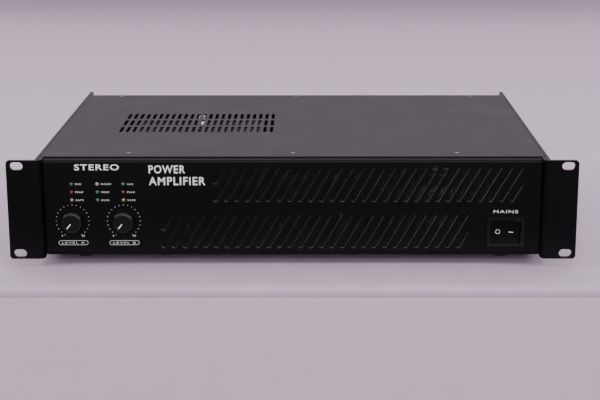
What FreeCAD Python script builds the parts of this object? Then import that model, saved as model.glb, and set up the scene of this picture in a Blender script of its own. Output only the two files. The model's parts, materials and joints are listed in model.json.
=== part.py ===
import FreeCAD, Part
import os
import re
import Sketcher
from FreeCAD import Placement, Rotation, Vector

# Rack-mount two-channel power amplifier. Millimetres. +X is the user's right as they face the
# front, +Y runs to the back and +Z is up. The origin is under the middle, at the feet's soles.

os.makedirs("parts", exist_ok=True)
doc = FreeCAD.newDocument("power_amplifier")

SIZES = {
    # rack ears: L-shaped brackets, ear outside and leg inside the side plates
    "front": -164.5, "ear_half": 241.3, "ear_low": 7, "ear_high": 86, "ear_thick": 3,
    "ear_corner": 3, "ear_bend": 4.5, "leg_inside": 211.7, "leg_long": 50,
    "slot_across": 465.1, "slot_apart": 76.2, "slot_long": 11, "slot_radius": 3.5,
    "notch_top": 91.5, "notch_top_from": 14.5, "notch_low": 11.2, "notch_low_from": 9.5,
    # side plates
    "side_half": 217.5, "side_thick": 2.5, "side_low": 8, "side_top": 93, "side_from": 3.5,
    "side_to": 331, "side_corner": 5, "wing_from": 318, "wing_hole_low": 30,
    "wing_hole_high": 72, "wing_hole_radius": 3.3,
    # front panel
    "over": 1, "panel_half": 211.4, "sheet": 1.5, "panel_from": 8, "panel_low": 8, "panel_top": 92,
    "panel_bend": 2.5, "top_lip": 28, "low_lip": 22, "cheek_low": 14, "cheek_top": 86,
    "cheek_long": 40,
    # slanted front vents, in two bands
    "vents": 28, "vent_pitch": 9, "vent_radius": 1.9, "vent_lean": 30, "vent_band_high": 31.2,
    "high_band_x": -65.6, "high_band_z": 55.1, "low_band_x": -110.6, "low_band_z": 14.2,
    # top cover
    "cover_half": 214.5, "cover_thick": 1.2, "cover_from": 15, "cover_to": 305,
    "fold_from": 60, "fold_to": 300, "fold_low": 78, "grille_columns": 24, "grille_pitch": 6.02,
    "grille_rows": 3, "grille_row_pitch": 31, "grille_x": -159.5, "grille_from": 117,
    "grille_long": 24, "grille_radius": 1.5,
    # base and rear panel
    "base_half": 214.8, "base_low": 9.5, "base_from": 9.8, "base_to": 303.2, "base_wall_high": 35,
    "base_wall_from": 52, "base_wall_to": 300, "rear_half": 213, "rear_from": 303.5,
    "rear_lip": 15.5, "rear_vents": 9, "rear_vent_x": 112, "rear_vent_pitch": 6,
    "rear_vent_low": 34, "rear_vent_high": 70, "rear_vent_radius": 1.5,
    # screws
    "screw_radius": 1.5, "screw_hole": 1.7, "snug_hole": 1.6, "head_radius": 2.8, "head_high": 1.3,
    "small_head": 2.4, "cover_head_radius": 2.1, "cover_head_high": 0.6,
    "cover_screw_x": 141, "cover_screw_from": 28, "cover_rear_screw_x": 181,
    "cover_rear_screw_from": 297, "cover_screw_long": 4.5, "side_screw_low": 22,
    "side_screw_high": 76, "side_screw_long": 9, "wall_screw_long": 6, "base_screw_x": 120,
    "base_screw_from": 22, "base_rear_screw_from": 296, "base_screw_long": 5,
    # feet
    "foot_radius": 10, "foot_tip": 8, "foot_x": 182, "foot_front": 40, "foot_rear": 276,
    "foot_recess": 4.5, "foot_recess_high": 4, "foot_head_radius": 3.6, "foot_head_high": 2.4,
    "foot_screw_end": 1.5,
    # dust screen behind the vents
    "screen_gap": 0.3, "screen_thick": 2, "screen_left": -120, "screen_right": 203,
    "screen_low": 12.5, "screen_top": 89, "screen_notch_x": 156, "screen_notch_z": 50,
    # lamps, potentiometers, knobs
    "lamp_left": -188.2, "lamp_pitch": 22, "lamp_radius": 1.7, "lamp_flange": 2.1,
    "lamp_top_z": 70.7, "lamp_step": 7, "lamp_proud": 1.2, "lamp_hole": 1.8, "lamp_gap": 0.1,
    "board_from": 19.9, "board_thick": 1.6, "board_left": -206, "board_right": -128,
    "board_low": 22, "board_top": 80, "knob_left": -188.1, "knob_right": -144.4, "knob_z": 38.4,
    "knob_radius": 9.2, "knob_front": -0.3, "knob_back": 7.7, "knob_edge": 1.4,
    "knob_hollow": 6.3, "knob_hollow_from": 3.7, "knob_rest": -141, "line_wide": 1,
    "line_deep": 0.4, "line_from": 0.3, "line_to": 7, "shaft_radius": 3, "shaft_fit": 0.05,
    "shaft_press": 0.02, "shaft_end": 0.3,
    "shaft_from": 1.2, "shaft_to": 17, "bush_radius": 3.5, "bush_from": 4.2, "bush_hole": 3.65,
    "nut_radius": 5.5, "nut_thick": 2.2, "pot_radius": 8.4, "pot_from": 9.7, "pot_to": 19.8,
    # mains rocker switch
    "switch_x": 181.8, "switch_z": 29.1, "bezel_half_x": 15.9, "bezel_half_z": 12.7,
    "bezel_front": 5.6, "bezel_corner": 2, "case_half_x": 14.1, "case_half_z": 11.3,
    "case_to": 26, "well_half_x": 12.95, "well_half_z": 10.2, "well_to": 23.5, "cutout_gap": 0.2,
    "pivot_depth": 8.3, "rocker_radius": 12.7, "rocker_half_z": 10, "rocker_face": 1.7,
    "rocker_tilt": 9, "rocker_back": 4.5, "pin_radius": 1.5, "pin_long": 0.9, "pin_fit": 0.06,
    "blade_half": 3.1, "blade_thick": 0.8, "blade_long": 9, "blade_step": 9,
    # toroidal transformer
    "coil_x": 130, "coil_from": 107, "coil_radius": 64, "coil_hole": 20, "coil_high": 54,
    "coil_round": 14, "mat_thick": 1.5, "plate_radius": 38, "plate_thick": 2, "mat_rim": 2,
    "bolt_radius": 4, "bolt_head_radius": 7, "bolt_head_high": 5, "bolt_fit": 0.3,
    # power supply board
    "standoff_radius": 3.5, "standoff_high": 8, "power_left": 60, "power_right": 205,
    "power_from": 184, "power_to": 262, "can_radius": 17.5, "can_high": 45, "can_x": 82,
    "can_step": 39, "can_from": 203, "bridge_x": 172, "bridge_from": 210, "bridge_half": 14,
    "bridge_high": 12,
    # amplifier boards, heat sinks, transistors
    "board_inset": 6, "left_board_from_x": -208, "left_board_to_x": -162, "right_board_from_x": -19,
    "right_board_to_x": 50, "amp_from": 104, "amp_to": 256, "sink_out": 150, "sink_in": 30,
    "sink_from": 110, "sink_long": 140, "sink_wall": 5, "sink_low": 11, "sink_top": 88,
    "fin_long": 50, "fin_thick": 2, "fins": 9, "chip_wide": 20, "chip_thick": 5, "chip_high": 26,
    "chip_low": 42, "chips": 4, "chip_first": 118, "chip_pitch": 34,
    # cooling fan
    "fan_x": -90, "fan_z": 51, "fan_half": 35, "fan_from": 278, "fan_bore": 33,
    "fan_screw_step": 30, "fan_hub": 14, "fan_tip": 31.5, "fan_spider": 2.5, "rib_half": 2,
    "blade_count": 7, "vane_thick": 1.4, "vane_high": 16, "vane_lean": 32, "rotor_gap": 1,
    "wire_radius": 0.8, "spoke_radius": 1.1, "ring_small": 10, "ring_middle": 19,
    "ring_large": 29, "eye_radius": 4, "eye_inset": 0.2, "weld": 0.5, "fan_hole": 2.1,
    "fan_screw_long": 6,
    # rear sockets
    "xlr_left": -24, "xlr_right": 10, "xlr_z": 62, "plate_half_x": 13, "plate_half_z": 15.5,
    "plate_proud": 2.2, "xlr_shell": 11.6, "xlr_ring": 9.9, "xlr_core": 7.8, "xlr_deep": 16,
    "core_recess": 1, "socket_back": 285, "contact_step": 4, "contact_radius": 1.3, "latch_half": 4.5,
    "latch_low": 12.2, "latch_high": 14.4, "latch_from": 299, "latch_proud": 4.4,
    "latch_fit": 0.3, "corner_screw_x": 9.5, "corner_screw_z": 12, "socket_screw_long": 7,
    "jack_z": 28, "jack_body": 8, "jack_nut": 7, "jack_nut_proud": 2.4, "jack_neck": 5.6,
    "jack_bore": 3.25, "jack_bore_long": 24, "out_left": 50, "out_right": 86, "out_ring": 10.2,
    "out_core": 5, "out_deep": 17,
    # binding posts
    "post_z": 28, "post_half_step": 9.525, "post_base_half_x": 17, "post_base_half_z": 9,
    "post_base_proud": 3, "post_collar": 6.2, "post_collar_proud": 5, "stud_radius": 3,
    "stud_to": 320, "stud_recess": 0.3, "post_hole_gap": 1.5, "cap_radius": 6, "cap_from": 310.3,
    "cap_to": 326, "collar_length": 1, "cap_flutes": 12, "flute_radius": 0.8,
    "plug_radius": 2.05, "wire_hole": 1.5, "wire_depth": 313.5,
    # slide switches
    "slide_x": -165, "mode_z": 62, "lift_z": 30, "slide_half_x": 11.5, "slide_half_z": 5,
    "slide_proud": 1.5, "slide_window_x": 6.2, "slide_window_z": 2.4, "slide_key_x": 2.1,
    "slide_key_z": 2.1, "slide_key_proud": 4.5, "slide_back": 296, "slide_deep": 6,
    "slide_travel": 4, "slide_case_x": 9.5, "key_gap": 0.3,
    # mains inlet with a fuse drawer
    "inlet_x": 181, "inlet_z": 51, "inlet_half_x": 15.4, "inlet_half_z": 25, "inlet_proud": 2.5,
    "inlet_gap": 0.3, "inlet_body_x": 13.4, "inlet_body_z": 22, "inlet_back": 281, "mouth_half_x": 12.2,
    "mouth_low": 50.5, "mouth_top": 67, "mouth_chamfer": 4.5, "mouth_deep": 17, "earth_z": 61.5,
    "live_z": 56, "live_x": 7, "tine_half_x": 1, "tine_half_z": 2, "tine_short": 2,
    "drawer_half_x": 10.5, "drawer_low": 33, "drawer_top": 41.5, "drawer_deep": 21,
    "drawer_fit": 0.2, "drawer_grip": 1.6, "tray_wall": 2, "tray_front": 3, "tray_floor": 1.5,
}

sheet = doc.addObject("Spreadsheet::Sheet", "dim")
for row, (word, number) in enumerate(SIZES.items(), 1):
    sheet.set(f"A{row}", word)
    sheet.set(f"B{row}", str(number))
    sheet.setAlias(f"B{row}", word)
doc.recompute()

NODES = []
FUNCTIONS = ("cos", "sin", "tan", "sqrt")
WALL_SCREW_SHARES = (0.15, 0.5, 0.85)
TURNS = {"x": Rotation(Vector(0, 1, 0), 90), "y": Rotation(Vector(1, 0, 0), -90), "z": Rotation()}
SIDES = {"left": -1, "right": 1}


# ---- expressions ------------------------------------------------------------------------------

def full(expression):
    """Write a sum of plain sheet words the way an object of the document reads it."""
    def word(match):
        return match[0] if match[0] in FUNCTIONS else "dim." + match[0]
    return re.sub(r"[a-z_]{3,}", word, str(expression))


def value(expression):
    return float(sheet.evalExpression(full(expression)))


def bind(item, name, expression):
    item.setExpression(name, full(expression))


def deep(expression):
    """The Y of a depth counted back from the front face of the ears."""
    return f"front + ({expression})"


def about(middle, half):
    return (f"({middle}) - ({half})", f"({middle}) + ({half})")


# ---- Part primitives --------------------------------------------------------------------------

def place(item, x, y, z):
    for axis, expression in zip("xyz", (x, y, z)):
        bind(item, f"Placement.Base.{axis}", expression)


def block(x, y, z):
    """A box between pairs of planes."""
    item = doc.addObject("Part::Box", "block")
    for side, (low, high) in zip(("Length", "Width", "Height"), (x, y, z)):
        bind(item, side, f"({high}) - ({low})")
    place(item, x[0], y[0], z[0])
    return item


def rod(axis, x, y, z, radius, length):
    """A cylinder that starts at x, y, z and runs along +axis."""
    item = doc.addObject("Part::Cylinder", "rod")
    item.Placement = Placement(Vector(), TURNS[axis])
    place(item, x, y, z)
    bind(item, "Radius", radius)
    bind(item, "Height", length)
    return item


def ring(x, y, z, radius, wire):
    """A torus round the Y axis."""
    item = doc.addObject("Part::Torus", "ring")
    item.Placement = Placement(Vector(), TURNS["y"])
    place(item, x, y, z)
    bind(item, "Radius1", radius)
    bind(item, "Radius2", wire)
    return item


def fuse(*items):
    item = doc.addObject("Part::MultiFuse", "fuse")
    item.Shapes = list(items)
    return item


def cut(base, *tools):
    item = doc.addObject("Part::Cut", "cut")
    item.Base = base
    item.Tool = tools[0] if len(tools) == 1 else fuse(*tools)
    return item


def node(label, *items):
    """Name one sub-part; several items make a group of separate solids."""
    item = items[0]
    if len(items) > 1:
        item = doc.addObject("Part::Compound", label)
        item.Links = list(items)
    item.Label = label
    NODES.append(item)
    return item


# ---- PartDesign bodies ------------------------------------------------------------------------

def new_body(label):
    body = doc.addObject("PartDesign::Body", label)
    body.Label = label
    NODES.append(body)
    return body


def sketch(body, plane, start="0"):
    """A sketch on one of the body's origin planes, moved along that plane's axis to start."""
    drawing = body.newObject("Sketcher::SketchObject", body.Label + "_sketch")
    face = next(item for item in body.Origin.OriginFeatures if item.Role == plane)
    drawing.AttachmentSupport = [(face, "")]
    drawing.MapMode = "FlatFace"
    sign = "-" if plane == "XZ_Plane" else ""
    bind(drawing, "AttachmentOffset.Base.z", f"{sign}({start})")
    return drawing


def fix(drawing, edge, point, x, y):
    for kind, expression in (("DistanceX", x), ("DistanceY", y)):
        number = drawing.addConstraint(Sketcher.Constraint(kind, edge, point, value(expression)))
        drawing.setExpression(f"Constraints[{number}]", full(expression))


def fix_radius(drawing, edge, radius):
    number = drawing.addConstraint(Sketcher.Constraint("Radius", edge, value(radius)))
    drawing.setExpression(f"Constraints[{number}]", full(radius))


def outline(drawing, corners):
    """A closed loop of straight lines through the corners."""
    first = drawing.GeometryCount
    points = [Vector(value(x), value(y), 0) for x, y in corners]
    following = points[1:] + points[:1]
    for point, other in zip(points, following):
        drawing.addGeometry(Part.LineSegment(point, other), False)
    for i, (x, y) in enumerate(corners):
        after = first + (i + 1) % len(corners)
        drawing.addConstraint(Sketcher.Constraint("Coincident", first + i, 2, after, 1))
        fix(drawing, first + i, 1, x, y)


def rectangle(drawing, x, y):
    outline(drawing, [(x[0], y[0]), (x[1], y[0]), (x[1], y[1]), (x[0], y[1])])


def circle(drawing, x, y, radius):
    edge = drawing.GeometryCount
    middle = Vector(value(x), value(y), 0)
    drawing.addGeometry(Part.Circle(middle, Vector(0, 0, 1), value(radius)), False)
    fix(drawing, edge, 3, x, y)
    fix_radius(drawing, edge, radius)


def obround(drawing, start, end, radius):
    """A slot with round ends, whose end circles are centred on start and end."""
    first = drawing.GeometryCount
    far, size = [Vector(value(x), value(y), 0) for x, y in (start, end)], value(radius)
    along = (far[1] - far[0]).normalize()
    across = Vector(-along.y, along.x, 0) * size
    for middle, side, nose in ((far[1], -1, 1), (far[0], 1, -1)):
        points = (middle + across * side, middle + along * size * nose, middle - across * side)
        drawing.addGeometry(Part.Arc(*points), False)
    drawing.addGeometry(Part.LineSegment(far[1] + across, far[0] + across), False)
    drawing.addGeometry(Part.LineSegment(far[0] - across, far[1] - across), False)
    arc_end, arc_start, upper, lower = range(first, first + 4)
    for one, other in ((arc_end, upper), (upper, arc_start), (arc_start, lower), (lower, arc_end)):
        drawing.addConstraint(Sketcher.Constraint("Tangent", one, 2, other, 1))
    drawing.addConstraint(Sketcher.Constraint("Equal", arc_end, arc_start))
    fix(drawing, arc_start, 3, *start)
    fix(drawing, arc_end, 3, *end)
    fix_radius(drawing, arc_end, radius)


def extrude(kind, body, drawing, length):
    """Pad or Pocket that runs towards the positive end of its plane's axis."""
    feature = body.newObject(f"PartDesign::{kind}", f"{body.Label}_{kind.lower()}")
    feature.Profile = drawing
    bind(feature, "Length", length)
    facing_back = drawing.AttachmentSupport[0][0].Role == "XZ_Plane"
    feature.Reversed = facing_back != (kind == "Pocket")
    return feature


def pad(body, plane, start, length, draw, *args):
    drawing = sketch(body, plane, start)
    draw(drawing, *args)
    return extrude("Pad", body, drawing, length)


def pocket(body, plane, start, length, draw, *args):
    drawing = sketch(body, plane, start)
    draw(drawing, *args)
    return extrude("Pocket", body, drawing, length)


def repeat(body, feature, axis, count, pitch):
    """Copies of one feature in a row along a sketch axis."""
    pattern = body.newObject("PartDesign::LinearPattern", body.Label + "_row")
    pattern.Originals = [feature]
    pattern.Direction = (feature.Profile[0], [axis])
    bind(pattern, "Length", f"({count} - 1) * ({pitch})")
    bind(pattern, "Occurrences", count)
    body.Tip = pattern
    return pattern


def round_edges(body, radius, wanted):
    """Fillet the edges of the body's last feature that the test picks."""
    doc.recompute()
    feature = body.Tip
    names = [f"Edge{i}" for i, edge in enumerate(feature.Shape.Edges, 1) if wanted(edge.BoundBox)]
    fillet = body.newObject("PartDesign::Fillet", body.Label + "_fillet")
    fillet.Base = (feature, names)
    bind(fillet, "Radius", radius)


def runs_along(axis, box, **at):
    """True for an edge parallel to axis that lies at the given coordinates."""
    others = [name for name in "XYZ" if name != axis]
    thin = all(getattr(box, name + "Length") < 1e-4 for name in others)
    return thin and all(abs(getattr(box, name + "Min") - where) < 1e-3 for name, where in at.items())


# ---- case -------------------------------------------------------------------------------------

def rack_ear(side):
    """Ear plate, bent at its inner edge into a leg that lies inside the side plate."""
    sign = SIDES[side]
    body = new_body(f"rack_ear_{side}")
    tops = ("ear_low", "ear_low + ear_high")
    flat = sorted((f"{sign} * ear_half", f"{sign} * leg_inside"), key=value)
    leg = sorted((f"{sign} * (leg_inside + ear_thick)", f"{sign} * leg_inside"), key=value)
    pad(body, "XZ_Plane", "front", "ear_thick", rectangle, flat, tops)
    pad(body, "XZ_Plane", deep("ear_thick"), "leg_long - ear_thick", rectangle, leg, tops)
    wide = sorted((f"{sign} * (leg_inside - over)", f"{sign} * side_half"), key=value)
    pocket(body, "XZ_Plane", deep("notch_top_from"), "leg_long", rectangle, wide,
           ("notch_top", "notch_top + ear_low"))
    pocket(body, "XZ_Plane", deep("notch_low_from"), "leg_long", rectangle, wide,
           ("0", "notch_low"))
    reach = "(slot_long / 2 - slot_radius)"
    for level in (-1, 1):
        z = f"ear_low + ear_high / 2 + {level} * slot_apart / 2"
        ends = [(f"{sign} * slot_across / 2 + {end} * {reach}", z) for end in (-1, 1)]
        pocket(body, "XZ_Plane", deep("-over"), "ear_thick + 2 * over", obround, *ends, "slot_radius")
    for z in ("side_screw_low", "side_screw_high"):
        pocket(body, "YZ_Plane", wide[0], "side_half - leg_inside + over", circle,
               deep("cover_screw_from"), z, "screw_hole")
    bend = dict(X=value(f"{sign} * leg_inside"), Y=value("front"))
    round_edges(body, "ear_bend", lambda box: runs_along("Z", box, **bend))
    outer = value(f"{sign} * ear_half")
    levels = [value(z) for z in tops]
    round_edges(body, "ear_corner", lambda box: any(
        runs_along("Y", box, X=outer, Z=level) for level in levels))


def side_plate(side):
    """Flat plate that runs on behind the rear panel as a wing with two support holes."""
    sign = SIDES[side]
    body = new_body(f"side_plate_{side}")
    inner = f"{sign} * (side_half - side_thick)"
    start = min((inner, f"{sign} * side_half"), key=value)
    pad(body, "YZ_Plane", start, "side_thick", rectangle,
        (deep("side_from"), deep("side_to")), ("side_low", "side_top"))
    holes = [("wing_from", z, "wing_hole_radius") for z in ("wing_hole_low", "wing_hole_high")]
    holes += [("cover_screw_from", z, "screw_hole") for z in ("side_screw_low", "side_screw_high")]
    holes += [(depth, "side_screw_low", "screw_hole") for depth in wall_screw_depths()]
    drawing = sketch(body, "YZ_Plane", start + " - over")
    for depth, z, radius in holes:
        circle(drawing, deep(depth), z, radius)
    extrude("Pocket", body, drawing, "side_thick + 2 * over")
    ends = value(deep("side_to"))
    levels = [value("side_low"), value("side_top")]
    round_edges(body, "side_corner", lambda box: any(
        runs_along("X", box, Y=ends, Z=level) for level in levels))


def wall_screw_depths():
    """Depths of the screws that hold a side plate to the base plate's upturned wall."""
    return [f"base_wall_from + {share} * (base_wall_to - base_wall_from)"
            for share in WALL_SCREW_SHARES]


def front_panel():
    body = new_body("front_panel")
    wide = "2 * panel_half"
    face, back = deep("panel_from"), deep("panel_from + sheet")
    corners = [(face, "panel_low"), (deep("panel_from + low_lip"), "panel_low"),
               (deep("panel_from + low_lip"), "panel_low + sheet"), (back, "panel_low + sheet"),
               (back, "panel_top - sheet"), (deep("panel_from + top_lip"), "panel_top - sheet"),
               (deep("panel_from + top_lip"), "panel_top"), (face, "panel_top")]
    pad(body, "YZ_Plane", "-panel_half", wide, outline, corners)
    cheek = (back, deep("panel_from + cheek_long")), ("cheek_low", "cheek_top")
    for start in ("-panel_half", "panel_half - sheet"):
        pad(body, "YZ_Plane", start, "sheet", rectangle, *cheek)
    for z in ("side_screw_low", "side_screw_high"):
        pocket(body, "YZ_Plane", "-panel_half - over", "2 * (panel_half + over)", circle,
               deep("cover_screw_from"), z, "screw_hole")
    drawing = sketch(body, "XY_Plane", "panel_top - sheet - over")
    for share in (-1, 0, 1):
        circle(drawing, f"{share} * cover_screw_x", deep("cover_screw_from"), "screw_hole")
    extrude("Pocket", body, drawing, "sheet + 2 * over")
    drawing = sketch(body, "XY_Plane", "panel_low - over")
    for share in (-1, 0, 1):
        circle(drawing, f"{share} * base_screw_x", deep("base_screw_from"), "screw_hole")
    extrude("Pocket", body, drawing, "sheet + 2 * over")
    round_edges(body, "panel_bend", lambda box: any(
        runs_along("X", box, Y=value(face), Z=value(z)) for z in ("panel_low", "panel_top")))
    front_holes(body)
    for x, z in (("low_band_x", "low_band_z"), ("high_band_x", "high_band_z")):
        vent_band(body, x, z)


def front_holes(body):
    """Openings for the lamps, the potentiometer bushes and the mains switch."""
    drawing = sketch(body, "XZ_Plane", deep("panel_from - over"))
    for x in ("knob_left", "knob_right"):
        circle(drawing, x, "knob_z", "bush_hole")
    for x, z in lamp_places():
        circle(drawing, x, z, "lamp_hole")
    rectangle(drawing, about("switch_x", "case_half_x + cutout_gap"),
              about("switch_z", "case_half_z + cutout_gap"))
    extrude("Pocket", body, drawing, "sheet + 2 * over")


def lamp_places():
    return [(f"lamp_left + {column} * lamp_pitch", f"lamp_top_z - {row} * lamp_step")
            for column in range(3) for row in range(3)]


def vent_band(body, x, z):
    """A row of slanted slots, with half slots that square off its two ends."""
    run = "(vent_band_high - 2 * vent_radius)"
    half = "vent_pitch / tan(vent_lean)"
    low = f"{z} + vent_radius"

    def at(first, rise):
        return f"{first} + ({rise}) * tan(vent_lean)", f"{low} + {rise}"

    last = f"{x} + vents * vent_pitch"
    slots = [(at(x, "0"), at(x, run)), (at(f"{x} - vent_pitch", half), at(f"{x} - vent_pitch", run)),
             (at(last, "0"), at(last, f"({run} - {half})"))]
    start, length = deep("panel_from - over"), "sheet + 2 * over"
    row = pocket(body, "XZ_Plane", start, length, obround, *slots[0], "vent_radius")
    repeat(body, row, "H_Axis", "vents", "vent_pitch")
    for ends in slots[1:]:
        pocket(body, "XZ_Plane", start, length, obround, *ends, "vent_radius")


def top_cover():
    """Flat lid with folded edges and three rows of slots over the heat sinks."""
    body = new_body("top_cover")
    top, under, through = "panel_top", "panel_top - over", "cover_thick + 2 * over"
    pad(body, "XY_Plane", top, "cover_thick", rectangle, about("0", "cover_half"),
        (deep("cover_from"), deep("cover_to")))
    for sign in (-1, 1):
        sides = sorted((f"{sign} * cover_half", f"{sign} * (cover_half - cover_thick)"), key=value)
        pad(body, "XY_Plane", "fold_low", f"{top} - fold_low", rectangle, sides,
            (deep("fold_from"), deep("fold_to")))
    drawing = sketch(body, "XY_Plane", under)
    for x, depth in cover_screw_places():
        circle(drawing, x, deep(depth), "screw_hole")
    extrude("Pocket", body, drawing, through)
    ends = [("grille_x", deep(f"grille_from + {along}"))
            for along in ("grille_radius", "grille_long - grille_radius")]
    slot = pocket(body, "XY_Plane", under, through, obround, *ends, "grille_radius")
    pattern = repeat(body, slot, "H_Axis", "grille_columns", "grille_pitch")
    pattern.Direction2 = (slot.Profile[0], ["V_Axis"])
    bind(pattern, "Length2", "(grille_rows - 1) * grille_row_pitch")
    bind(pattern, "Occurrences2", "grille_rows")


def cover_screw_places():
    front = [(f"{share} * cover_screw_x", "cover_screw_from") for share in (-1, 0, 1)]
    rear = [(f"{share} * cover_rear_screw_x", "cover_rear_screw_from") for share in (-1, 0, 1)]
    return front + rear


def base_screw_places():
    front = [(f"{share} * base_screw_x", "base_screw_from") for share in (-1, 0, 1)]
    rear = [(f"{share} * base_screw_x", "base_rear_screw_from") for share in (-1, 0, 1)]
    return front + rear


def foot_places():
    return [(f"{sign} * foot_x", depth) for sign in (-1, 1) for depth in ("foot_front", "foot_rear")]


def base_plate():
    body = new_body("base_plate")
    pad(body, "XY_Plane", "base_low", "sheet", rectangle, about("0", "base_half"),
        (deep("base_from"), deep("base_to")))
    for sign in (-1, 1):
        sides = sorted((f"{sign} * base_half", f"{sign} * (base_half - sheet)"), key=value)
        pad(body, "XY_Plane", "base_low + sheet", "base_wall_high - base_low - sheet", rectangle,
            sides, (deep("base_wall_from"), deep("base_wall_to")))
    drawing = sketch(body, "XY_Plane", "base_low - over")
    for x, depth in base_screw_places() + foot_places():
        circle(drawing, x, deep(depth), "screw_hole")
    circle(drawing, "coil_x", deep("coil_from"), "bolt_radius + bolt_fit")
    extrude("Pocket", body, drawing, "sheet + 2 * over")
    for depth in wall_screw_depths():
        pocket(body, "YZ_Plane", "-base_half - over", "2 * (base_half + over)", circle, deep(depth),
               "side_screw_low", "screw_hole")


def rear_panel():
    """Upright sheet with a lip along its top and bottom, and an opening for each socket."""
    body = new_body("rear_panel")
    face, skin = deep("rear_from"), deep("rear_from + sheet")
    lip, floor = deep("rear_from - rear_lip"), "base_low + sheet"
    corners = [(skin, "base_low"), (skin, "panel_top"), (lip, "panel_top"),
               (lip, "panel_top - sheet"), (face, "panel_top - sheet"),
               (face, f"{floor} + sheet"), (lip, f"{floor} + sheet"), (lip, floor),
               (face, floor), (face, "base_low")]
    pad(body, "YZ_Plane", "-rear_half", "2 * rear_half", outline, corners)
    for level, places in (("panel_top - sheet - over", cover_screw_places()[3:]),
                          (f"{floor} - over", base_screw_places()[3:])):
        drawing = sketch(body, "XY_Plane", level)
        for x, depth in places:
            circle(drawing, x, deep(depth), "screw_hole")
        extrude("Pocket", body, drawing, "sheet + 2 * over")
    drawing = sketch(body, "XZ_Plane", deep("rear_from - over"))
    circle(drawing, "fan_x", "fan_z", "fan_bore")
    for x, z in fan_corners():
        circle(drawing, x, z, "fan_hole")
    for x in ("xlr_left", "xlr_right"):
        circle(drawing, x, "xlr_z", "xlr_shell + cutout_gap")
        rectangle(drawing, about(x, "latch_half + 2 * latch_fit"),
                  ("xlr_z + xlr_shell + latch_fit", "xlr_z + latch_high + 2 * latch_fit"))
        circle(drawing, x, "jack_z", "jack_neck + cutout_gap")
    for x in ("out_left", "out_right"):
        circle(drawing, x, "xlr_z", "xlr_shell + cutout_gap")
        for side in (-1, 1):
            circle(drawing, f"{x} + {side} * post_half_step", "post_z", "stud_radius + post_hole_gap")
    for x, z in flange_screw_places():
        circle(drawing, x, z, "screw_hole")
    for z in ("mode_z", "lift_z"):
        rectangle(drawing, about("slide_x", "slide_case_x + cutout_gap"), about(z, "slide_half_z"))
    rectangle(drawing, about("inlet_x", "inlet_body_x + inlet_gap"),
              about("inlet_z", "inlet_body_z + inlet_gap"))
    extrude("Pocket", body, drawing, "sheet + 2 * over")
    ends = [("rear_vent_x", z) for z in ("rear_vent_low", "rear_vent_high")]
    slot = pocket(body, "XZ_Plane", deep("rear_from - over"), "sheet + 2 * over", obround, *ends,
                  "rear_vent_radius")
    repeat(body, slot, "H_Axis", "rear_vents", "rear_vent_pitch")


def fan_corners():
    return [(f"fan_x + {a} * fan_screw_step", f"fan_z + {b} * fan_screw_step")
            for a in (-1, 1) for b in (-1, 1)]


def flange_screw_places():
    """Two screws on a diagonal for each round socket."""
    return [(f"{x} + {side} * corner_screw_x", f"xlr_z + {side} * corner_screw_z")
            for x in ("xlr_left", "xlr_right", "out_left", "out_right") for side in (-1, 1)]


# ---- fasteners and feet -----------------------------------------------------------------------

def screw(axis, towards, x, y, z, length, radius="screw_radius", head="head_radius",
          thick="head_high"):
    """Pan-head screw whose shank runs from x, y, z along axis, in the direction towards."""
    spot = {"x": x, "y": y, "z": z}
    starts = {"shank": length, "head": thick} if towards < 0 else {"shank": "0", "head": "0"}
    shank, cap = dict(spot), dict(spot)
    shank[axis] = f"{spot[axis]} - ({starts['shank']})"
    cap[axis] = spot[axis] if towards < 0 else f"{spot[axis]} - ({thick})"
    return fuse(rod(axis, *shank.values(), radius, length), rod(axis, *cap.values(), head, thick))


def case_screws():
    lid = "panel_top + cover_thick"
    node("cover_screws", *[screw("z", -1, x, deep(depth), lid, "cover_screw_long",
                                 head="cover_head_radius", thick="cover_head_high")
                           for x, depth in cover_screw_places()])
    group = []
    for sign in (-1, 1):
        skin = f"{sign} * side_half"
        for z in ("side_screw_low", "side_screw_high"):
            group.append(screw("x", -sign, skin, deep("cover_screw_from"), z, "side_screw_long"))
        for depth in wall_screw_depths():
            group.append(screw("x", -sign, skin, deep(depth), "side_screw_low", "wall_screw_long"))
    node("side_screws", *group)
    levels = ["panel_low"] * 3 + ["base_low"] * 3
    node("base_screws", *[screw("z", 1, x, deep(depth), level, "base_screw_long")
                          for (x, depth), level in zip(base_screw_places(), levels)])


def feet():
    pads, screws = [], []
    for x, depth in foot_places():
        cone = doc.addObject("Part::Cone", "foot")
        place(cone, x, deep(depth), "0")
        bind(cone, "Radius1", "foot_tip")
        bind(cone, "Radius2", "foot_radius")
        bind(cone, "Height", "base_low")
        recess = rod("z", x, deep(depth), "0", "foot_recess", "foot_recess_high")
        hole = rod("z", x, deep(depth), "0", "screw_hole", "base_low")
        pads.append(cut(cone, recess, hole))
        screws.append(screw("z", 1, x, deep(depth), "foot_recess_high",
                            "base_low + sheet + foot_screw_end - foot_recess_high",
                            head="foot_head_radius", thick="foot_head_high"))
    node("rubber_feet", *pads)
    node("foot_screws", *screws)


# ---- front controls ---------------------------------------------------------------------------

def dust_screen():
    start = "panel_from + sheet + screen_gap"
    depth = (deep(start), deep(f"{start} + screen_thick"))
    pane = block(("screen_left", "screen_right"), depth, ("screen_low", "screen_top"))
    notch = block(("screen_notch_x", "screen_right + over"), depth, ("0", "screen_notch_z"))
    node("dust_screen", cut(pane, notch))


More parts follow.
